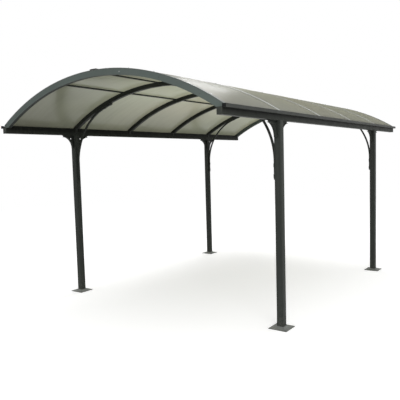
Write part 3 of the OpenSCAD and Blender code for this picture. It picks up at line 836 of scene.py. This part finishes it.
stripScrew = {"Washer Radius": 7 * mm, "Washer Height": 1.6 * mm, "Head Radius": 4.2 * mm, "Head Height": 4 * mm,
              "Head Sides": 6, "Head Taper": 0.93}
smallBolt = {"Washer Radius": 4.6 * mm, "Washer Height": 1 * mm, "Head Radius": 3.4 * mm, "Head Height": 2.6 * mm,
             "Head Sides": 6, "Head Taper": 0.92}
saddleBolt = dict(smallBolt, **{"Washer Radius": 3.6 * mm, "Head Radius": 3 * mm})
domeScrew = {"Washer Radius": 4.4 * mm, "Washer Height": 0.9 * mm, "Head Radius": 3.6 * mm, "Head Height": 1.8 * mm,
             "Head Sides": 14, "Head Taper": 0.62}
clipScrew = dict(domeScrew, **{"Washer Radius": 3.2 * mm, "Head Radius": 2.8 * mm})

stripRow = {"half": 1.30, "count": 10}
stripScrews = []
for y in archY:
    for k in range(stripRow["count"]):
        x = stripRow["half"] * (2 * k / (stripRow["count"] - 1) - 1)
        stripScrews.append(onRoof(x, y, 0.0))
setFasteners("strip_screws", stripScrews, stripScrew, "screwMetal")

# Bracket bolts, beam bolts over the posts, and the screws that hold the posts to their feet
bracketBolt = {"reaches": (65 * mm, 125 * mm), "aside": 18.5 * mm, "flange": 4 * mm}
beamBolt = {"aside": 22 * mm, "rise": 30 * mm}
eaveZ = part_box("eave_beam_right")[0].z
bracketX = (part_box("eave_brackets_front_right")[0].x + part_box("eave_brackets_front_right")[1].x) / 2
flange = bracketBolt["flange"]
for sx, sy in corners:
    for way in bothWays:
        for reach in bracketBolt["reaches"]:
            for aside in (-bracketBolt["aside"], bracketBolt["aside"]):
                x, y = sx * bracketX + aside, sy * postY + way * postHalf
                bolts.append((Vector((x, y + way * reach, eaveZ - flange)), Vector((0, 0, -1))))
                bolts.append((Vector((x, y + way * flange, eaveZ - reach)), Vector((0, way, 0))))
        spot = (sx * innerX, sy * postY + way * beamBolt["aside"], eaveZ + beamBolt["rise"])
        bolts.append((Vector(spot), Vector((-sx, 0, 0))))
setFasteners("frame_bolts", bolts, smallBolt, "paintedBolt")
setFasteners("saddle_bolts", saddleBolts, saddleBolt, "paintedBolt")

footScrew = {"aside": 9 * mm, "heights": (0.046, 0.128)}
footScrews = []
for sx, sy in corners:
    for direction in (Vector((1, 0, 0)), Vector((-1, 0, 0)), Vector((0, 1, 0)), Vector((0, -1, 0))):
        across = Vector((0, 0, 1)).cross(direction)
        for height in footScrew["heights"]:
            for way in bothWays:
                foot = Vector((sx * postX, sy * postY, height))
                footScrews.append((foot + direction * postHalf + across * way * footScrew["aside"], direction))
setFasteners("foot_screws", footScrews, domeScrew, "paintedBolt")

# Screws in the faces of the end arches, in the ridge caps and in the purlin clips
archScrew = {"across": (-1.22, -0.80, -0.34, 0.34, 0.80, 1.22), "bright": 0.34, "inset": 34 * mm}
ridgeScrew = {"aside": 28 * mm, "rise": 9 * mm}
archScrews, paintedArchScrews = [], []
for y, way in endArches:
    for x in archScrew["across"]:
        row = archScrews if x * way == -archScrew["bright"] else paintedArchScrews
        row.append((onRoof(x, y + way * stripHalf, archScrew["inset"])[0], Vector((0, way, 0))))
for y in archY:
    for way in bothWays:
        archScrews.append(onRoof(way * ridgeScrew["aside"], y, -ridgeScrew["rise"]))
setFasteners("arch_screws", archScrews, domeScrew, "screwMetal")
setFasteners("painted_arch_screws", paintedArchScrews, domeScrew, "endArchPaintWithSheen")
setFasteners("clip_screws", clipScrews, clipScrew, "paintedBolt")

# Floor, lights and camera
studio = {"horizonLight": 0.32, "zenithLight": 1.15, "floorSize": 60.0, "floorPale": 0.34,
          "floorLift": 0.27, "fadeFrom": 7.0, "fadeTo": 14.0}
lamps = {
    "softLight": {"place": (4.2, -5.0, 4.4), "aim": (1.0, -1.8, 1.6), "size": 3.0, "watts": 85.0},
    "skyGlow": {"place": (-2.1, 3.65, 5.8), "aim": (1.1, -2.3, 2.3), "size": 1.6, "watts": 84.0},
}
white = rgb(1.0, 1.0, 1.0)


# 1 for the rays that show the floor or world as white: straight, mirrored, or through glass
def sightRays(tree):
    path = addNode(tree, "ShaderNodeLightPath").outputs
    mirrored = calc(tree, "MAXIMUM", path["Is Glossy Ray"], path["Is Transmission Ray"])
    return calc(tree, "MAXIMUM", path["Is Camera Ray"], mirrored)


bm = bmesh.new()
bmesh.ops.create_grid(bm, x_segments=2, y_segments=2, size=studio["floorSize"])
floorMesh = bpy.data.meshes.new("floor")
bm.to_mesh(floorMesh)
bm.free()
floor = bpy.data.objects.new("floor", floorMesh)
bpy.context.scene.collection.objects.link(floor)
material, tree, shader = startMaterial("paleFloor")
seen = sightRays(tree)
pale = blendColours(tree, seen, rgb(*[studio["floorPale"]] * 3), white)
tree.links.new(pale, shader.inputs["Base Color"])
shader.inputs["Roughness"].default_value = 0.9
shader.inputs["Specular IOR Level"].default_value = 0.0
away = addNode(tree, "ShaderNodeVectorMath", {0: objectPlace(tree)}, operation="LENGTH").outputs["Value"]
fade = product(tree, spread(tree, away, studio["fadeFrom"], studio["fadeTo"]), seen)
shader.inputs["Emission Color"].default_value = white
tree.links.new(product(tree, seen, studio["floorLift"]), shader.inputs["Emission Strength"])
glowing = addNode(tree, "ShaderNodeEmission", {"Color": white, "Strength": 1.0})
mixed = addNode(tree, "ShaderNodeMixShader", {0: fade, 1: shader.outputs[0], 2: glowing.outputs[0]})
tree.links.new(mixed.outputs[0], tree.nodes["Material Output"].inputs["Surface"])
floorMesh.materials.append(material)

world = bpy.data.worlds.new("studio")
bpy.context.scene.world = world
world.use_nodes = True
tree = world.node_tree
direction = addNode(tree, "ShaderNodeTexCoord").outputs["Generated"]
upward = axisOf(tree, direction, "Z")
skyLight = spread(tree, upward, 0.0, 1.0, studio["horizonLight"], studio["zenithLight"])
strength = spread(tree, sightRays(tree), 0.0, 1.0, skyLight, 1.0)
background = tree.nodes["Background"]
background.inputs["Color"].default_value = white
tree.links.new(strength, background.inputs["Strength"])

for name, lamp in lamps.items():
    lampData = bpy.data.lights.new(name, "AREA")
    lampData.size = lamp["size"]
    lampData.energy = lamp["watts"]
    light = bpy.data.objects.new(name, lampData)
    light.location = lamp["place"]
    light.rotation_euler = (Vector(lamp["aim"]) - light.location).to_track_quat("-Z", "Y").to_euler()
    light.visible_camera = False
    bpy.context.scene.collection.objects.link(light)

view = {"place": (3.5435, -5.7284, 1.6249), "yaw": 0.62032, "pitch": -0.07954, "roll": -0.02766,
        "lens": 45.386, "sensor": 36.0}
cameraData = bpy.data.cameras.new("camera")
cameraData.sensor_width = view["sensor"]
cameraData.lens = view["lens"]
camera = bpy.data.objects.new("camera", cameraData)
turn = Matrix.Rotation(view["yaw"], 4, "Z") @ Matrix.Rotation(math.pi / 2 + view["pitch"], 4, "X")
camera.matrix_world = Matrix.Translation(view["place"]) @ turn @ Matrix.Rotation(view["roll"], 4, "Z")
bpy.context.scene.collection.objects.link(camera)
bpy.context.scene.camera = camera
bpy.context.scene.view_settings.view_transform = "Standard"
